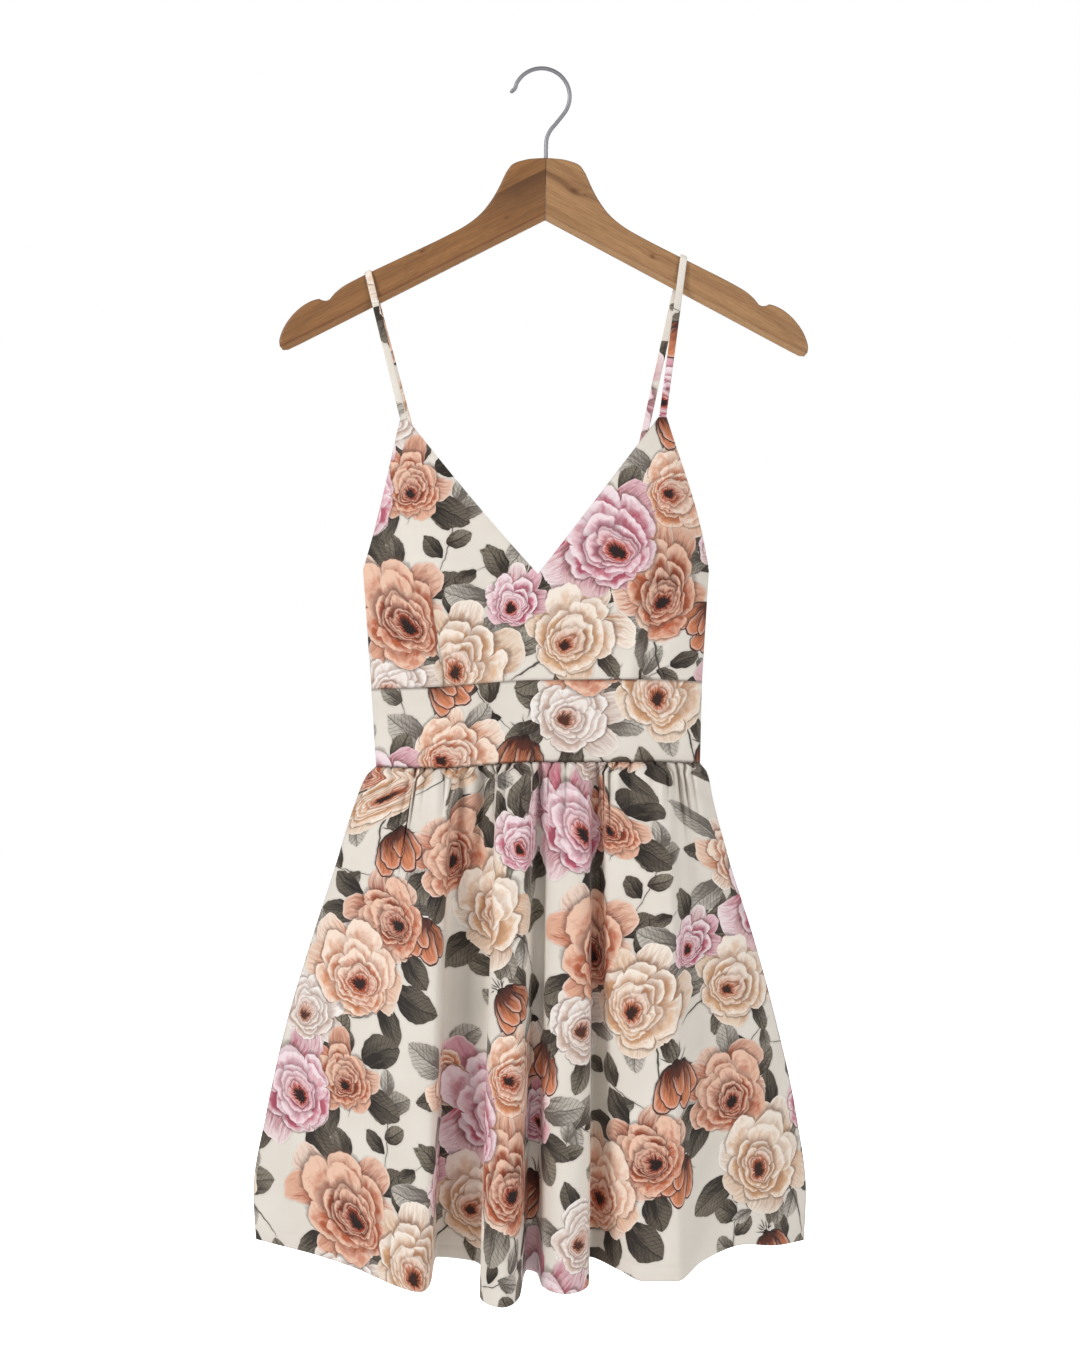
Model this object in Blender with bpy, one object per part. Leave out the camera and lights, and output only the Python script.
"""A strappy mini dress on a wooden hanger with a wire hook.

Metres, +Z up, the front faces -Y. The origin is the inside top of the hook's
bend, where a rail or a wall hook carries it. The dress is one open tube of
cloth: a V-neck bodice, a flat waistband and a gathered, folded skirt, each cut
as a front and a back that meet at side seams in the plane y = 0.
"""
import math

import bmesh
import bpy
import numpy as np
from mathutils import Vector

# ---------------------------------------------------------------- sizes
SEAM_GAP = 0.0003           # between pieces that are sewn or seated together
DRESS_X = -0.0042           # the dress hangs a little to the left of the hook
BODICE_WALL = 0.0015
BAND_WALL = 0.0016
SKIRT_WALL = 0.0012
SECTION_FLATNESS = 0.7      # 1 is an ellipse, less is flatter with fuller sides

# Garment at its three seam levels: half widths left and right, half depths.
UNDERARM_LEFT = 0.1472
UNDERARM_RIGHT = 0.1438
UNDERARM_Z = -0.4200
WAIST_LEFT = 0.1400
WAIST_RIGHT = 0.1379
WAIST_Z = -0.5127
BAND_END_LEFT = 0.1360
BAND_END_RIGHT = 0.1362
BAND_END_Z = -0.5807
FRONT_DEPTH = 0.0270
BACK_DEPTH = 0.0240

# How far the two cross seams hang below their middle, side seam to side seam.
SEAM_DROP_COLUMNS = ("across", "waist_seam", "skirt_seam")
SEAM_DROP = (
    (-1.0, 0.0080, 0.0043),
    (-0.6, 0.0060, 0.0055),
    (0.0, 0.0000, 0.0000),
    (0.6, -0.0006, 0.0000),
    (1.0, 0.0018, 0.0018),
)

# Bodice: V neckline, pointed tops that carry the straps, cups and darts.
NECK_Z = -0.4249
NECK_DEPTH = 0.0320
APEX_LEFT = 0.1117
APEX_RIGHT = 0.1040
APEX_LEFT_Z = -0.2960
APEX_RIGHT_Z = -0.2935
APEX_DEPTH = 0.0160
APEX_WIDTH = 0.0070
APEX_SHARE = 0.74           # place of the top along the panel, 0 middle, 1 side
APEX_HALF_SHARE = 0.02
NECK_SAG_LEFT = 0.0025      # how far each neckline dips below a straight line
NECK_SAG_RIGHT = 0.0005
ARMHOLE_BOW_LEFT = -0.0015  # how far each armhole edge bows outward
ARMHOLE_BOW_RIGHT = 0.0032
CUP_X = 0.0900
CUP_Z = -0.3900
CUP_RADIUS_X = 0.0450
CUP_RADIUS_Z = 0.0700
CUP_DEPTH = 0.0130
DART_LOW_LEFT = 0.0782
DART_LOW_RIGHT = 0.0854
DART_LEAN = 0.0180          # how far outward a dart's top lies from its foot
DART_TOP_Z = -0.3950
DART_CREASE = 0.0028
DART_HALF_WIDTH = 0.0060
BACK_TOP_Z = -0.4360
BACK_TOP_RISE = 0.0160      # from the middle of the back's top edge to its sides
BODICE_ROWS = (0.0, 0.08, 0.20, 0.35, 0.50, 0.65, 0.80, 0.92, 1.0)
BODICE_NECK_COLUMNS = 16
BODICE_ARMHOLE_COLUMNS = 7
BACK_ROWS = (0.0, 0.33, 0.67, 1.0)
BAND_ROWS = (0.0, 0.5, 1.0)
BACK_COLUMNS = 36

# Skirt: gathers under the band, then long folds that open towards the hem.
SKIRT_LENGTH = 0.4300
GATHER_HEIGHT = 0.0017      # half of crest to trough
GATHER_FADE = 0.0950
PUFF = 0.0030               # how far the gathers swell out under the band
PUFF_RUN = 0.0120
FRONT_GATHERS = 32
BACK_GATHERS = 28
COLUMNS_PER_GATHER = 4
FRONT_FOLD_COLUMNS = 72
BACK_FOLD_COLUMNS = 56
GATHER_ROWS = (0.0, 0.008, 0.020, 0.038, 0.062, 0.095)
FOLD_ROWS = (0.145, 0.205, 0.275, 0.350, SKIRT_LENGTH)

# How far the side seams have gone out from the band to the hem.
SIDE_FLARE_COLUMNS = ("down", "left", "right")
SIDE_FLARE = (
    (0.00, 0.00, 0.00),
    (0.02, 0.08, 0.07),
    (0.08, 0.18, 0.13),
    (0.20, 0.33, 0.28),
    (0.38, 0.56, 0.54),
    (0.55, 0.76, 0.75),
    (0.73, 0.92, 0.93),
    (0.90, 1.03, 1.03),
    (1.00, 1.01, 1.01),
)

# Folds: place on the band, then place, reach and height of the hem.
FOLD_COLUMNS = ("name", "band_x", "hem_x", "hem_reach", "hem_z")
FRONT_FOLDS = (
    ("side_left", -0.1360, -0.2363, 0.000, -0.9828),
    ("left_panel_outer", -0.1194, -0.1955, 0.030, -0.9848),
    ("left_panel_inner", -0.0992, -0.1537, 0.055, -0.9911),
    ("fold_a_crest", -0.0765, -0.0995, 0.088, -1.0032),
    ("fold_a_edge", -0.0656, -0.0840, 0.072, -0.9975),
    ("recess_ab", -0.0580, -0.0785, 0.046, -0.9868),
    ("recess_ab_inner", -0.0370, -0.0490, 0.050, -0.9925),
    ("fold_b_left", -0.0286, -0.0430, 0.087, -1.0078),
    ("fold_b_crest", -0.0151, -0.0293, 0.108, -1.0105),
    ("fold_b_right", -0.0040, -0.0145, 0.088, -1.0078),
    ("recess_bc", 0.0030, -0.0085, 0.060, -0.9938),
    ("recess_bc_inner", 0.0080, -0.0010, 0.062, -0.9950),
    ("fold_c_left", 0.0130, 0.0050, 0.082, -1.0005),
    ("fold_c_crest", 0.0236, 0.0205, 0.098, -1.0025),
    ("fold_c_right", 0.0353, 0.0395, 0.080, -0.9990),
    ("recess_cd", 0.0450, 0.0460, 0.050, -0.9855),
    ("fold_d_left", 0.0640, 0.0650, 0.072, -0.9898),
    ("fold_d_crest", 0.0800, 0.0860, 0.088, -0.9955),
    ("fold_d_edge", 0.0950, 0.1120, 0.087, -0.9955),
    ("fold_d_right", 0.1070, 0.1335, 0.065, -0.9850),
    ("right_panel_inner", 0.1194, 0.1661, 0.045, -0.9765),
    ("right_panel_outer", 0.1287, 0.1969, 0.026, -0.9815),
    ("side_right", 0.1362, 0.2229, 0.000, -0.9837),
)
BACK_FOLDS = (
    ("side_left", -0.1360, -0.2363, 0.000, -0.9828),
    ("left_panel", -0.1120, -0.1830, 0.036, -0.9860),
    ("fold_e", -0.0860, -0.1330, 0.072, -0.9930),
    ("recess_ef", -0.0620, -0.0900, 0.042, -0.9890),
    ("fold_f", -0.0330, -0.0480, 0.082, -0.9960),
    ("recess_fg", -0.0080, -0.0100, 0.050, -0.9920),
    ("fold_g", 0.0210, 0.0330, 0.086, -0.9970),
    ("recess_gh", 0.0480, 0.0770, 0.046, -0.9900),
    ("fold_h", 0.0760, 0.1180, 0.074, -0.9940),
    ("right_panel", 0.1080, 0.1740, 0.038, -0.9850),
    ("side_right", 0.1362, 0.2229, 0.000, -0.9837),
)

# Straps: where each crosses its hanger arm, and where its back end is sewn.
STRAP_WIDTH = 0.0060
STRAP_WALL = 0.0018
STRAP_CLEAR = 0.0005        # over the wood, whose top edge slopes
STRAP_TOP_LEFT_X = -0.1465
STRAP_TOP_RIGHT_X = 0.1180
STRAP_BACK_LEFT = 0.0740
STRAP_BACK_RIGHT = 0.0620
STRAP_TWIST_RUN = 0.0200
STRAP_STEPS = 6
STRAP_ARC_DEGREES = (172, 150, 130, 110, 90)
STRAP_RIM = ((1.0, 0.33), (0.7, 1.0), (-0.7, 1.0), (-1.0, 0.33),
             (-1.0, -0.33), (-0.7, -1.0), (0.7, -1.0), (1.0, -0.33))

# Hanger: two flat arms that meet at a joint, tilted a little to the right.
ARM_JOINT_X = 0.0025
ARM_JOINT_Z = -0.0745
ARM_TILT = math.radians(0.70)
ARM_THICKNESS = 0.0120
ARM_TOP_EDGE = 0.0020       # rounding of the upper edges
ARM_LOW_EDGE = 0.0042       # broader chamfer of the lower edges
ARM_LOW_START = -0.0515
ARM_LOW_SLOPE = -0.52
ARM_END = 0.2220
ARM_END_Z = -0.1570
ARM_LIP = 0.1885
ARM_END_POWER = 1.6
ARM_TOP_COLUMNS = ("from_joint", "height")
ARM_TOP = (
    (0.0000, 0.0000),
    (0.0120, -0.0008),
    (0.0220, -0.0030),
    (0.0280, -0.0056),
    (0.0330, -0.0120),
    (0.0380, -0.0228),
    (0.0440, -0.0340),
    (0.0540, -0.0472),
    (0.0660, -0.0570),
    (0.0800, -0.0650),
    (0.1200, -0.0849),
    (0.1600, -0.1048),
    (0.1690, -0.1100),
    (0.1760, -0.1158),
    (0.1820, -0.1220),
    (0.1850, -0.1221),
    (0.1885, -0.1206),
)
ARM_TOP_STATIONS = (
    0.0, 0.008, 0.016, 0.023, 0.028, 0.031, 0.034, 0.038, 0.042, 0.047, 0.054, 0.062,
    0.072, 0.085, 0.120, 0.155, 0.164, 0.170, 0.175, 0.179, 0.182, 0.185, 0.1885,
)
ARM_LOW_STATIONS = (0.205, 0.160, 0.110, 0.060, 0.020, 0.0)
ARM_CORNER_COLUMNS = ("from_joint", "height", "edge")
ARM_CORNER = (
    (0.2215, -0.1605, 0.0025),
    (0.2195, -0.1632, 0.0032),
    (0.2150, -0.1630, 0.0042),
)

# Hook: a wire bent to an open circle over a straight shank.
WIRE_RADIUS = 0.0017
HOOK_RADIUS = 0.0237
HOOK_CENTRE_X = -0.0012
HOOK_ARC_START = 152
HOOK_ARC_END = -36
HOOK_ARC_STEP = 8
HOOK_TIP = ((-0.0274, -0.0186), (-0.0250, -0.0168), (-0.0232, -0.0145))
HOOK_NECK = ((0.0108, -0.0450), (0.0060, -0.0509), (0.0033, -0.0570), (0.0026, -0.0650))
HOOK_SHANK_Z = -0.0720
SOCKET_DEPTH = 0.0220
SOCKET_CLEAR = 0.0003

# Colours: a first finish for each kind of piece.
CLOTH = ((0.83, 0.78, 0.71, 1.0), 0.75, 0.0)
WOOD = ((0.42, 0.24, 0.11, 1.0), 0.55, 0.0)
STEEL = ((0.55, 0.55, 0.57, 1.0), 0.25, 1.0)


# ---------------------------------------------------------------- helpers
def clear_scene():
    for item in list(bpy.data.objects):
        bpy.data.objects.remove(item, do_unlink=True)


def column(table, columns, name):
    place = columns.index(name)
    return [row[place] for row in table]


def smooth_curve(knots, values):
    """A monotone cubic through the rows of a table: it never swings past them."""
    knots = np.asarray(knots, dtype=float)
    values = np.asarray(values, dtype=float)
    steps = np.diff(knots)
    slopes = np.diff(values) / steps
    tangents = np.zeros(len(knots))
    tangents[0] = slopes[0]
    tangents[-1] = slopes[-1]
    for i in range(1, len(knots) - 1):
        if slopes[i - 1] * slopes[i] > 0.0:
            near = 2.0 * steps[i] + steps[i - 1]
            far = steps[i] + 2.0 * steps[i - 1]
            tangents[i] = (near + far) / (near / slopes[i - 1] + far / slopes[i])

    def curve(at):
        at = min(max(at, knots[0]), knots[-1])
        i = min(int(np.searchsorted(knots, at, side="right")) - 1, len(steps) - 1)
        t = (at - knots[i]) / steps[i]
        start = (1.0 + 2.0 * t) * (1.0 - t) ** 2 * values[i]
        start += t * (1.0 - t) ** 2 * steps[i] * tangents[i]
        end = t * t * (3.0 - 2.0 * t) * values[i + 1]
        end += t * t * (t - 1.0) * steps[i] * tangents[i + 1]
        return start + end

    return curve


def table_curve(table, columns, knot, value):
    return smooth_curve(column(table, columns, knot), column(table, columns, value))


def mix(a, b, share):
    return a + (b - a) * share


def ease(share):
    share = min(max(share, 0.0), 1.0)
    return share * share * (3.0 - 2.0 * share)


def finish(item, kind):
    colour, roughness, metallic = kind
    material = bpy.data.materials.new(item.name + "_finish")
    material.use_nodes = True
    shader = material.node_tree.nodes["Principled BSDF"]
    shader.inputs["Base Color"].default_value = colour
    shader.inputs["Roughness"].default_value = roughness
    shader.inputs["Metallic"].default_value = metallic
    material.diffuse_color = colour
    item.data.materials.append(material)


def mesh_object(name, mesh_data, kind):
    mesh = bpy.data.meshes.new(name)
    bmesh.ops.recalc_face_normals(mesh_data, faces=mesh_data.faces[:])
    mesh_data.to_mesh(mesh)
    mesh_data.free()
    mesh.shade_smooth()
    mesh.set_sharp_from_angle(angle=math.radians(40))
    item = bpy.data.objects.new(name, mesh)
    bpy.context.collection.objects.link(item)
    finish(item, kind)
    return item


# ---------------------------------------------------------------- cloth sections
def arc_shares(half_width, half_depth):
    """Share of a half section's length that lies before each of its angles."""
    angles = np.linspace(0.0, math.pi / 2.0, 400)
    x = half_width * np.sin(angles)
    y = half_depth * np.clip(np.cos(angles), 0.0, 1.0) ** SECTION_FLATNESS
    run = np.concatenate(([0.0], np.cumsum(np.hypot(np.diff(x), np.diff(y)))))
    return angles, run / run[-1]


ANGLES, SHARES = arc_shares((WAIST_LEFT + WAIST_RIGHT) / 2.0, (FRONT_DEPTH + BACK_DEPTH) / 2.0)


def section(across, left, right, depth):
    """x and outward reach at a place across a panel, -1 and 1 at its side seams."""
    angle = float(np.interp(abs(across), SHARES, ANGLES))
    half = left if across < 0.0 else right
    x = math.copysign(half * math.sin(angle), across)
    reach = depth * max(math.cos(angle), 0.0) ** SECTION_FLATNESS
    return x, reach


def across_at(x, left, right):
    """The place across a panel whose section lies at x."""
    half = left if x < 0.0 else right
    angle = math.asin(min(abs(x) / half, 1.0))
    return math.copysign(float(np.interp(angle, ANGLES, SHARES)), x)


waist_drop = table_curve(SEAM_DROP, SEAM_DROP_COLUMNS, "across", "waist_seam")
skirt_drop = table_curve(SEAM_DROP, SEAM_DROP_COLUMNS, "across", "skirt_seam")
left_flare = table_curve(SIDE_FLARE, SIDE_FLARE_COLUMNS, "down", "left")
right_flare = table_curve(SIDE_FLARE, SIDE_FLARE_COLUMNS, "down", "right")


def cup_reach(x, z):
    left = math.exp(-((x + CUP_X) / CUP_RADIUS_X) ** 2)
    right = math.exp(-((x - CUP_X) / CUP_RADIUS_X) ** 2)
    return CUP_DEPTH * (left + right) * math.exp(-((z - CUP_Z) / CUP_RADIUS_Z) ** 2)


def dart_reach(x, z):
    """A soft trough along each dart, from the waist seam up and outward."""
    up = (z - WAIST_Z) / (DART_TOP_Z - WAIST_Z)
    if up > 1.0:
        return 0.0
    low = DART_LOW_LEFT if x < 0.0 else DART_LOW_RIGHT
    away = (abs(x) - low - DART_LEAN * max(up, 0.0)) / DART_HALF_WIDTH
    return -DART_CREASE * math.exp(-away * away) * (1.0 - ease(up))


def bodice_top(across):
    """Front bodice edge: half neckline, strap end and armhole on either side."""
    share = abs(across)
    apex_x = APEX_LEFT if across < 0.0 else APEX_RIGHT
    apex_z = APEX_LEFT_Z if across < 0.0 else APEX_RIGHT_Z
    side_x = UNDERARM_LEFT if across < 0.0 else UNDERARM_RIGHT
    inner = APEX_SHARE - APEX_HALF_SHARE
    outer = APEX_SHARE + APEX_HALF_SHARE
    knots = (0.0, inner, outer, 1.0)
    x = float(np.interp(share, knots, (0.0, apex_x - APEX_WIDTH / 2, apex_x + APEX_WIDTH / 2, side_x)))
    z = float(np.interp(share, knots, (NECK_Z, apex_z, apex_z, UNDERARM_Z)))
    reach = float(np.interp(share, knots, (NECK_DEPTH, APEX_DEPTH, APEX_DEPTH, 0.0)))
    if share < inner:
        sag = NECK_SAG_LEFT if across < 0.0 else NECK_SAG_RIGHT
        z -= sag * math.sin(math.pi * share / inner)
    if share > outer:
        bow = ARMHOLE_BOW_LEFT if across < 0.0 else ARMHOLE_BOW_RIGHT
        x += bow * math.sin(math.pi * ((share - outer) / (1.0 - outer)) ** 1.4)
    return math.copysign(x, across), reach, z


def bodice_front(across, up):
    low_x, low_reach = section(across, WAIST_LEFT, WAIST_RIGHT, FRONT_DEPTH)
    low_z = WAIST_Z - waist_drop(across) + SEAM_GAP / 2
    top_x, top_reach, top_z = bodice_top(across)
    x = mix(low_x, top_x, up)
    z = mix(low_z, top_z, up)
    inside = 1.0 - abs(across) ** 6
    reach = mix(low_reach, top_reach, up)
    reach += (cup_reach(x, z) + dart_reach(x, z)) * inside
    return Vector((DRESS_X + x, -reach, z))


def bodice_back(across, up):
    low_x, low_reach = section(across, WAIST_LEFT, WAIST_RIGHT, BACK_DEPTH)
    low_z = WAIST_Z - waist_drop(across) + SEAM_GAP / 2
    top_x, top_reach = section(across, UNDERARM_LEFT, UNDERARM_RIGHT, BACK_DEPTH)
    top_z = BACK_TOP_Z + BACK_TOP_RISE * (top_x / UNDERARM_RIGHT) ** 2
    top_z = min(top_z, UNDERARM_Z)
    return Vector((DRESS_X + mix(low_x, top_x, up), mix(low_reach, top_reach, up), mix(low_z, top_z, up)))


def waistband(across, down, depth, facing):
    high_x, high_reach = section(across, WAIST_LEFT, WAIST_RIGHT, depth)
    low_x, low_reach = section(across, BAND_END_LEFT, BAND_END_RIGHT, depth)
    high_z = WAIST_Z - waist_drop(across) - SEAM_GAP / 2
    low_z = BAND_END_Z - skirt_drop(across) + SEAM_GAP / 2
    reach = mix(high_reach, low_reach, down)
    return Vector((DRESS_X + mix(high_x, low_x, down), facing * reach, mix(high_z, low_z, down)))


def skirt(folds, gathers, depth, facing):
    """A gathered panel whose folds run from the band to the hem."""
    places = [across_at(x, BAND_END_LEFT, BAND_END_RIGHT) for x in column(folds, FOLD_COLUMNS, "band_x")]
    hem_x = smooth_curve(places, column(folds, FOLD_COLUMNS, "hem_x"))
    hem_reach = smooth_curve(places, column(folds, FOLD_COLUMNS, "hem_reach"))
    hem_z = smooth_curve(places, column(folds, FOLD_COLUMNS, "hem_z"))

    def surface(across, down):
        band_x, band_reach = section(across, BAND_END_LEFT, BAND_END_RIGHT, depth)
        band_z = BAND_END_Z - skirt_drop(across) - SEAM_GAP / 2
        run = down * SKIRT_LENGTH
        flare = left_flare(down) if across < 0.0 else right_flare(down)
        out = mix(down, flare, abs(across) ** 3)
        wave = math.cos(math.pi * gathers * across) * (1.0 - ease(run / GATHER_FADE))
        inside = 1.0 - abs(across) ** 12
        reach = mix(band_reach, hem_reach(across), down)
        reach += (GATHER_HEIGHT * wave + PUFF * ease(run / PUFF_RUN)) * inside
        x = mix(band_x, hem_x(across), out)
        z = mix(band_z, hem_z(across), down)
        return Vector((DRESS_X + x, facing * reach, z))

    return surface


# ---------------------------------------------------------------- cloth walls
def outward_normal(surface, across, along, facing):
    step = 0.002
    left = surface(max(across - step, -1.0), along)
    right = surface(min(across + step, 1.0), along)
    low = surface(across, max(along - step, 0.0))
    high = surface(across, min(along + step, 1.0))
    normal = (right - left).cross(high - low).normalized()
    if abs(across) > 0.98:
        return normal if normal.x * across > 0.0 else -normal
    return normal if normal.y * facing > 0.0 else -normal


def inner_point(surface, across, along, wall, facing):
    """The outer point moved in by the wall; at a side seam it is mitred."""
    outer = surface(across, along)
    normal = outward_normal(surface, across, along, facing)
    if abs(across) < 1.0:
        return outer - normal * wall
    side = math.copysign(1.0, across)
    return outer - Vector((side * wall / max(abs(normal.x), 0.5), 0.0, 0.0))


def stitch(work, row_a, places_a, row_b, places_b):
    """Faces between two rows of points that may have different spacings."""
    a = 0
    b = 0
    while a < len(row_a) - 1 or b < len(row_b) - 1:
        next_a = places_a[a + 1] if a < len(row_a) - 1 else math.inf
        next_b = places_b[b + 1] if b < len(row_b) - 1 else math.inf
        if abs(next_a - next_b) < 1e-6:
            work.faces.new((row_a[a], row_a[a + 1], row_b[b + 1], row_b[b]))
            a += 1
            b += 1
        elif next_a < next_b:
            work.faces.new((row_a[a], row_a[a + 1], row_b[b]))
            a += 1
        else:
            work.faces.new((row_a[a], row_b[b + 1], row_b[b]))
            b += 1


def cloth_panel(name, surface, rows, wall, facing):
    """A closed wall over a surface; rows give how far along, and the places across."""
    work = bmesh.new()
    edge_y = facing * SEAM_GAP / 2
    limit = max if facing > 0 else min

    def vertex(point):
        return work.verts.new((point.x, limit(point.y, edge_y), point.z))

    outer = []
    inner = []
    for along, places in rows:
        outer.append([vertex(surface(across, along)) for across in places])
        inner.append([vertex(inner_point(surface, across, along, wall, facing)) for across in places])
    for i in range(len(rows) - 1):
        for layer in (outer, inner):
            stitch(work, layer[i], rows[i][1], layer[i + 1], rows[i + 1][1])
        for end in (0, -1):
            work.faces.new((outer[i][end], outer[i + 1][end], inner[i + 1][end], inner[i][end]))
    for i in (0, -1):
        stitch(work, outer[i], rows[i][1], inner[i], rows[i][1])
    return mesh_object(name, work, CLOTH)


def even_places(count):
    return [2.0 * i / count - 1.0 for i in range(count + 1)]


def bodice_places():
    """Columns that meet the corners of both strap ends."""
    inner = APEX_SHARE - APEX_HALF_SHARE
    outer = APEX_SHARE + APEX_HALF_SHARE
    right = list(np.linspace(0.0, inner, BODICE_NECK_COLUMNS + 1))
    right += list(np.linspace(outer, 1.0, BODICE_ARMHOLE_COLUMNS + 1))
    left = [-place for place in right[:0:-1]]
    return left + right


def skirt_rows(gathers, fold_columns):
    fine = even_places(gathers * COLUMNS_PER_GATHER)
    coarse = even_places(fold_columns)
    rows = [(run / SKIRT_LENGTH, fine) for run in GATHER_ROWS]
    rows += [(run / SKIRT_LENGTH, coarse) for run in FOLD_ROWS]
    return rows


def build_dress():
    front_rows = [(up, bodice_places()) for up in BODICE_ROWS]
    cloth_panel("bodice_front", bodice_front, front_rows, BODICE_WALL, -1)
    back_rows = [(up, even_places(BACK_COLUMNS)) for up in BACK_ROWS]
    cloth_panel("bodice_back", bodice_back, back_rows, BODICE_WALL, 1)

    def band_front(across, down):
        return waistband(across, down, FRONT_DEPTH, -1)

    def band_back(across, down):
        return waistband(across, down, BACK_DEPTH, 1)

    band_rows = [(down, even_places(BACK_COLUMNS)) for down in BAND_ROWS]
    cloth_panel("waistband_front", band_front, band_rows, BAND_WALL, -1)
    cloth_panel("waistband_back", band_back, band_rows, BAND_WALL, 1)

    front = skirt(FRONT_FOLDS, FRONT_GATHERS, FRONT_DEPTH, -1)
    cloth_panel("skirt_front", front, skirt_rows(FRONT_GATHERS, FRONT_FOLD_COLUMNS), SKIRT_WALL, -1)
    back = skirt(BACK_FOLDS, BACK_GATHERS, BACK_DEPTH, 1)
    cloth_panel("skirt_back", back, skirt_rows(BACK_GATHERS, BACK_FOLD_COLUMNS), SKIRT_WALL, 1)


# ---------------------------------------------------------------- hanger
arm_top = table_curve(ARM_TOP, ARM_TOP_COLUMNS, "from_joint", "height")


def arm_outline():
    """Points (from_joint, height, edge rounding, inward direction) round one arm."""
    points = [(at, arm_top(at), ARM_TOP_EDGE) for at in ARM_TOP_STATIONS]
    lip = arm_top(ARM_LIP)
    for i in range(1, 10):
        angle = math.radians(10.0 * i)
        out = math.sin(angle) ** (2.0 / ARM_END_POWER)
        drop = 1.0 - math.cos(angle) ** (2.0 / ARM_END_POWER)
        points.append((mix(ARM_LIP, ARM_END, out), mix(lip, ARM_END_Z, drop), ARM_TOP_EDGE))
    points += ARM_CORNER
    points += [(at, ARM_LOW_START + ARM_LOW_SLOPE * at, ARM_LOW_EDGE) for at in ARM_LOW_STATIONS]
    outline = []
    for i, (x, z, edge) in enumerate(points):
        before = points[max(i - 1, 0)]
        after = points[min(i + 1, len(points) - 1)]
        run = Vector((after[0] - before[0], after[1] - before[1])).normalized()
        inward = Vector((run.y, -run.x))
        if x == 0.0:
            inward = Vector((0.0, -1.0 if i == 0 else 1.0))
        outline.append((x, z, edge, inward))
    return outline


def arm_rings():
    """Share of the rounding by which each ring is moved in, and set back from the face."""
    rings = [(1.0, 0.0), (0.293, 0.293), (0.0, 1.0)]
    return [(-1, ring) for ring in rings] + [(1, ring) for ring in reversed(rings)]


def build_arm(name, side, frame, socket):
    """One wooden arm, from the joint outward; side is -1 for left and 1 for right."""
    work = bmesh.new()
    outline = arm_outline()
    rings = []
    for face, (inset, setback) in arm_rings():
        ring = []
        for x, z, edge, inward in outline:
            moved_x = SEAM_GAP / 2 + x + inward.x * edge * inset
            moved_z = z + inward.y * edge * inset
            y = face * (ARM_THICKNESS / 2 - edge * setback)
            ring.append(work.verts.new((side * moved_x, y, moved_z)))
        rings.append(ring)
    for ring_a, ring_b in zip(rings, rings[1:]):
        for i in range(len(outline)):
            j = (i + 1) % len(outline)
            work.faces.new((ring_a[i], ring_a[j], ring_b[j], ring_b[i]))
    caps = [work.faces.new(rings[0]), work.faces.new(rings[-1])]
    bmesh.ops.triangulate(work, faces=caps, ngon_method="EAR_CLIP")
    arm = mesh_object(name, work, WOOD)
    arm.parent = frame
    cut = arm.modifiers.new("hook_socket", "BOOLEAN")
    cut.operation = "DIFFERENCE"
    cut.solver = "EXACT"
    cut.object = socket


def arm_height(x):
    """World height of the arms' top edge at a world x, and its slope there."""
    def height(at):
        from_joint = abs(at - ARM_JOINT_X)
        return ARM_JOINT_Z + arm_top(from_joint) - (at - ARM_JOINT_X) * math.tan(ARM_TILT)

    step = 0.001
    slope = (height(x + step) - height(x - step)) / (2.0 * step)
    return height(x), slope


def build_hanger():
    frame = bpy.data.objects.new("hanger_frame", None)
    bpy.context.collection.objects.link(frame)
    frame.location = (ARM_JOINT_X, 0.0, ARM_JOINT_Z)
    frame.rotation_euler = (0.0, ARM_TILT, 0.0)

    work = bmesh.new()
    radius = WIRE_RADIUS + SOCKET_CLEAR
    bmesh.ops.create_cone(work, cap_ends=True, segments=16, radius1=radius, radius2=radius,
                          depth=2.0 * SOCKET_DEPTH)
    socket = mesh_object("hook_socket_cutter", work, WOOD)
    socket.location = (ARM_JOINT_X, 0.0, ARM_JOINT_Z)
    socket.hide_render = True
    socket.display_type = "WIRE"

    build_arm("hanger_arm_left", -1, frame, socket)
    build_arm("hanger_arm_right", 1, frame, socket)
    build_hook()


def hook_points():
    """The wire's middle line, from its free tip round to the foot of its shank."""
    centre_z = WIRE_RADIUS - HOOK_RADIUS
    points = list(HOOK_TIP)
    for degrees in range(HOOK_ARC_START, HOOK_ARC_END - 1, -HOOK_ARC_STEP):
        angle = math.radians(degrees)
        x = HOOK_CENTRE_X + HOOK_RADIUS * math.cos(angle)
        points.append((x, centre_z + HOOK_RADIUS * math.sin(angle)))
    points += HOOK_NECK
    foot = ARM_JOINT_Z - SOCKET_DEPTH + SOCKET_CLEAR
    points += [(ARM_JOINT_X, z) for z in (HOOK_SHANK_Z, mix(HOOK_SHANK_Z, foot, 0.5), foot)]
    return points


def build_hook():
    points = hook_points()
    curve = bpy.data.curves.new("hanger_hook", "CURVE")
    curve.dimensions = "3D"
    curve.bevel_depth = WIRE_RADIUS
    curve.bevel_resolution = 2
    curve.use_fill_caps = True
    spline = curve.splines.new("POLY")
    spline.points.add(len(points) - 1)
    for place, (x, z) in zip(spline.points, points):
        place.co = (x, 0.0, z, 1.0)
    hook = bpy.data.objects.new("hanger_hook", curve)
    bpy.context.collection.objects.link(hook)
    finish(hook, STEEL)


# ---------------------------------------------------------------- straps
def strap_end(surface, across, along, wall, facing):
    """Middle of a panel's edge, and the edge's own level direction there."""
    outer = surface(across, along)
    inner = inner_point(surface, across, along, wall, facing)
    normal = outward_normal(surface, across, along, facing)
    level = Vector((-normal.y, normal.x, 0.0)) * -facing
    return (outer + inner) / 2.0, level.normalized()


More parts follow.
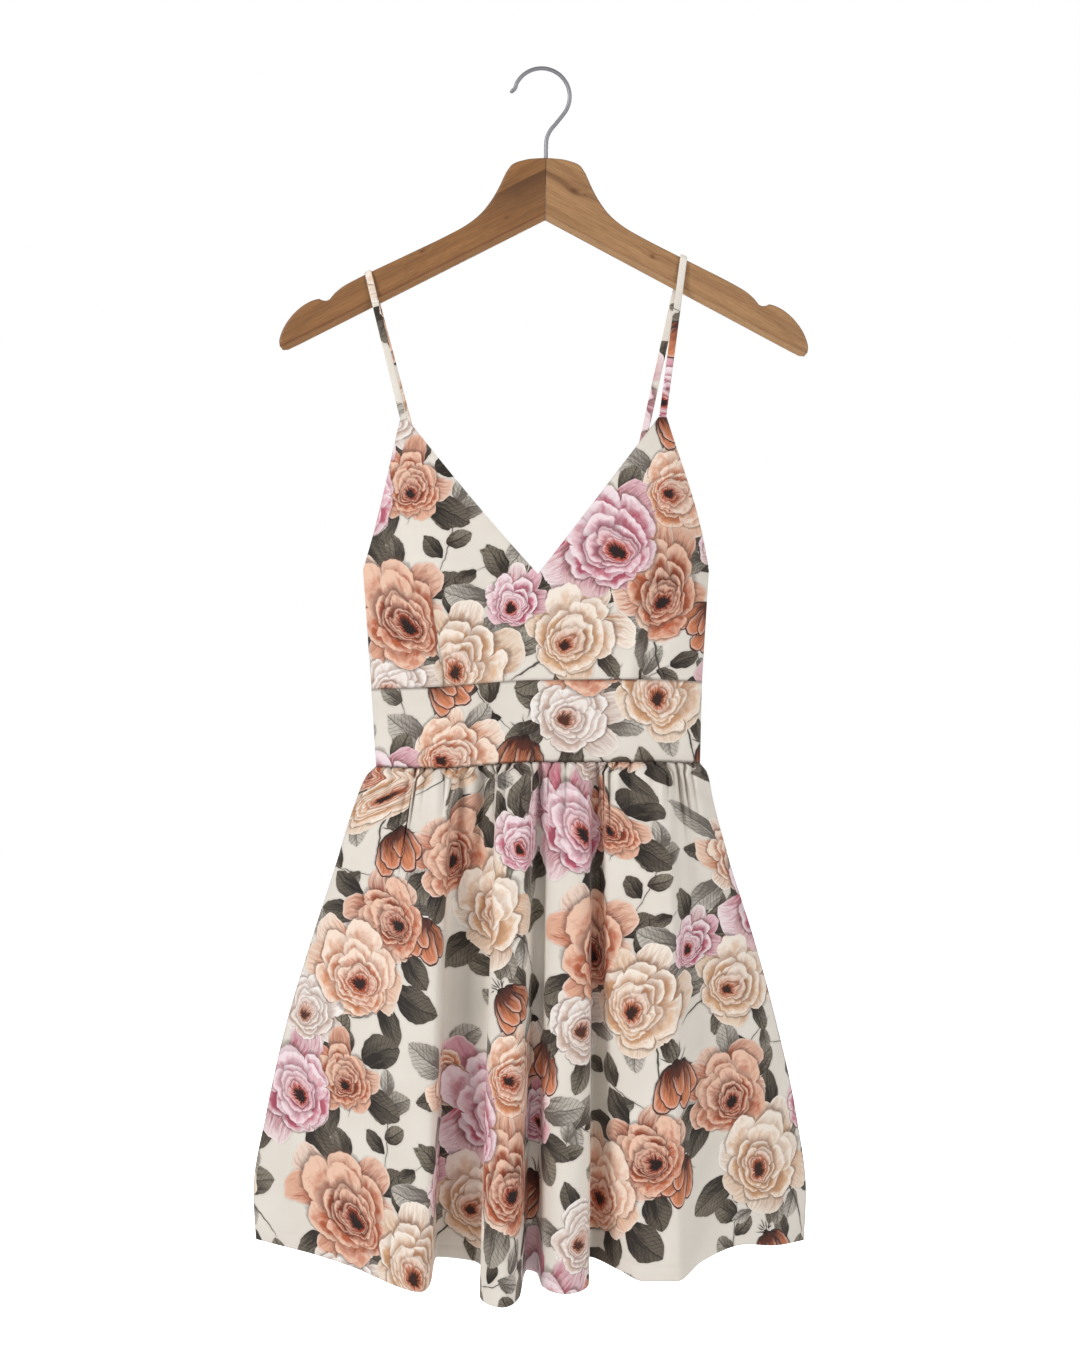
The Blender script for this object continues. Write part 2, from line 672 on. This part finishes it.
def strap_stations(top_x, front_end, front_level, back_end, back_level):
    """Middle line of a strap, front end to back end, with its width direction."""
    top_z, slope = arm_height(top_x)
    over = Vector((1.0, 0.0, slope)).normalized()
    bend = ARM_TOP_EDGE + STRAP_CLEAR + STRAP_WALL / 2
    lift = over.x
    stations = []
    for facing, end, level in ((-1, front_end, front_level), (1, back_end, back_level)):
        arc = []
        for degrees in STRAP_ARC_DEGREES:
            angle = math.radians(degrees)
            y = facing * (ARM_THICKNESS / 2 - ARM_TOP_EDGE - bend * math.cos(angle))
            z = top_z + (bend * math.sin(angle) - ARM_TOP_EDGE) / lift
            x = top_x + (end.x - top_x) * (top_z - z) / (top_z - end.z)
            arc.append((Vector((x, y, z)), over))
        start = arc[0][0]
        run = []
        for i in range(STRAP_STEPS, 0, -1):
            point = start.lerp(end, i / STRAP_STEPS)
            twist = ease((start - point).length / STRAP_TWIST_RUN)
            run.append((point, over.lerp(level, twist)))
        half = run + arc
        stations += half if facing < 0 else half[::-1]
    return stations


def build_strap(name, stations):
    """A flat eight-sided band swept along its stations, with level ends."""
    rim = [(a * STRAP_WIDTH / 2, b * STRAP_WALL / 2) for a, b in STRAP_RIM]
    work = bmesh.new()
    rings = []
    for i, (point, width) in enumerate(stations):
        before = stations[max(i - 1, 0)][0]
        after = stations[min(i + 1, len(stations) - 1)][0]
        run = (after - before).normalized()
        if i in (0, len(stations) - 1):
            run = Vector((0.0, 0.0, math.copysign(1.0, run.z)))
        width = (width - run * width.dot(run)).normalized()
        depth = run.cross(width)
        rings.append([work.verts.new(point + width * a + depth * b) for a, b in rim])
    for ring_a, ring_b in zip(rings, rings[1:]):
        for i in range(len(rim)):
            j = (i + 1) % len(rim)
            work.faces.new((ring_a[i], ring_a[j], ring_b[j], ring_b[i]))
    work.faces.new(rings[0])
    work.faces.new(rings[-1])
    mesh_object(name, work, CLOTH)


def build_straps():
    seat = Vector((0.0, 0.0, SEAM_GAP * 1.6))
    for name, side, top_x, back_x in (
        ("strap_left", -1, STRAP_TOP_LEFT_X, STRAP_BACK_LEFT),
        ("strap_right", 1, STRAP_TOP_RIGHT_X, STRAP_BACK_RIGHT),
    ):
        front_end, front_level = strap_end(bodice_front, side * APEX_SHARE, 1.0, BODICE_WALL, -1)
        back_across = across_at(side * back_x, UNDERARM_LEFT, UNDERARM_RIGHT)
        back_end, back_level = strap_end(bodice_back, back_across, 1.0, BODICE_WALL, 1)
        stations = strap_stations(top_x, front_end + seat, front_level, back_end + seat, back_level)
        build_strap(name, stations)


def main():
    clear_scene()
    build_hanger()
    build_dress()
    build_straps()


main()
